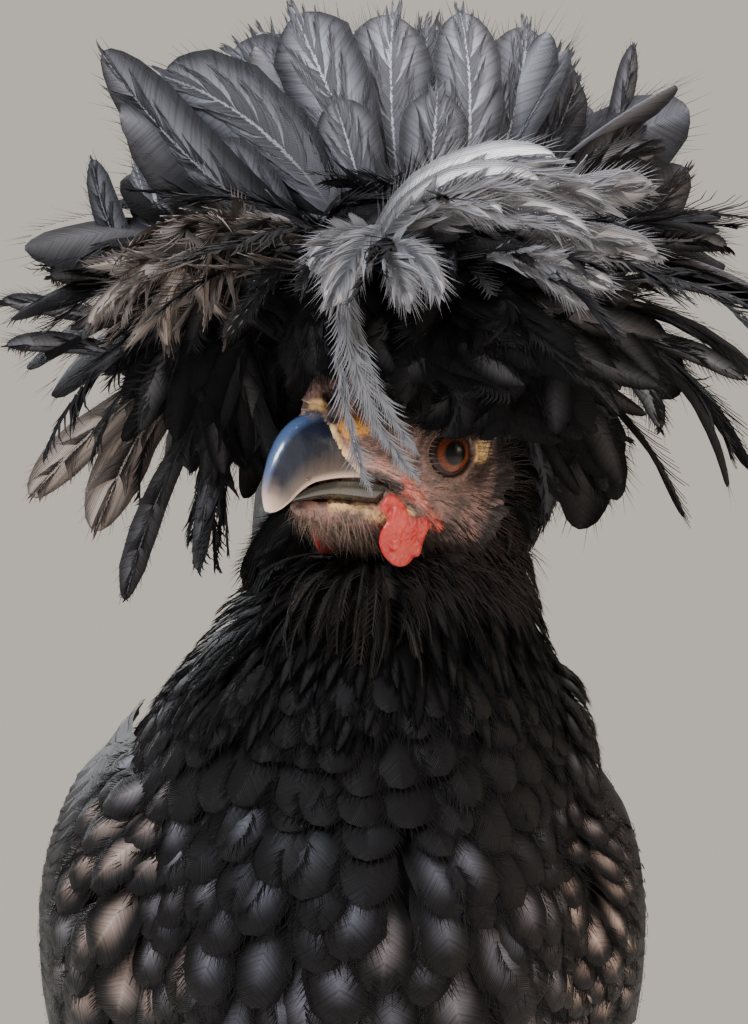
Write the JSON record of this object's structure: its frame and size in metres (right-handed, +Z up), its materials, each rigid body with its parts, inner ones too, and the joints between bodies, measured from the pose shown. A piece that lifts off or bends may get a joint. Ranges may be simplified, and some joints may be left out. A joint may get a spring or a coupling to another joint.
{
  "type": "polish crested chicken",
  "caption": "Life-size still model of a black crested hen, standing square with her head turned to one side.",
  "frame": {"origin": "middle of the bounding box at floor level, under the standing bird", "axes": "+Z up, her breast towards -Y, her left side towards +X"},
  "size_m": [0.167, 0.3638, 0.4013],
  "materials": {
    "plumage": "black feathers with a soft sheen",
    "crest": "charcoal feathers with grey rims",
    "skin": "matt pink and dark skin",
    "horn": "polished dark horn",
    "eye": "wet and clear",
    "flesh": "soft red skin",
    "shank": "slate-coloured scutes"
  },
  "bodies": {
    "root": {"beak_lower": "horn", "beak_upper": "horn", "beard": "plumage", "claw_hind_left": "horn", "claw_hind_right": "horn", "claw_inner_left": "horn", "claw_inner_right": "horn", "claw_middle_left": "horn", "claw_middle_right": "horn", "claw_outer_left": "horn", "claw_outer_right": "horn", "comb": "flesh", "crest": "crest", "earlobe_left": "flesh", "earlobe_right": "flesh", "eye_left": "eye", "eye_right": "eye", "foot_left": "shank", "foot_right": "shank", "head": "skin", "neck": "plumage", "shank_left": "shank", "shank_right": "shank", "tail": "plumage", "thigh_left": "plumage", "thigh_right": "plumage", "toe_hind_left": "shank", "toe_hind_right": "shank", "toe_inner_left": "shank", "toe_inner_right": "shank", "toe_middle_left": "shank", "toe_middle_right": "shank", "toe_outer_left": "shank", "toe_outer_right": "shank", "torso": "plumage", "wattle_left": "flesh", "wattle_right": "flesh", "wing_left": "plumage", "wing_right": "plumage"}
  },
  "joints": []
}
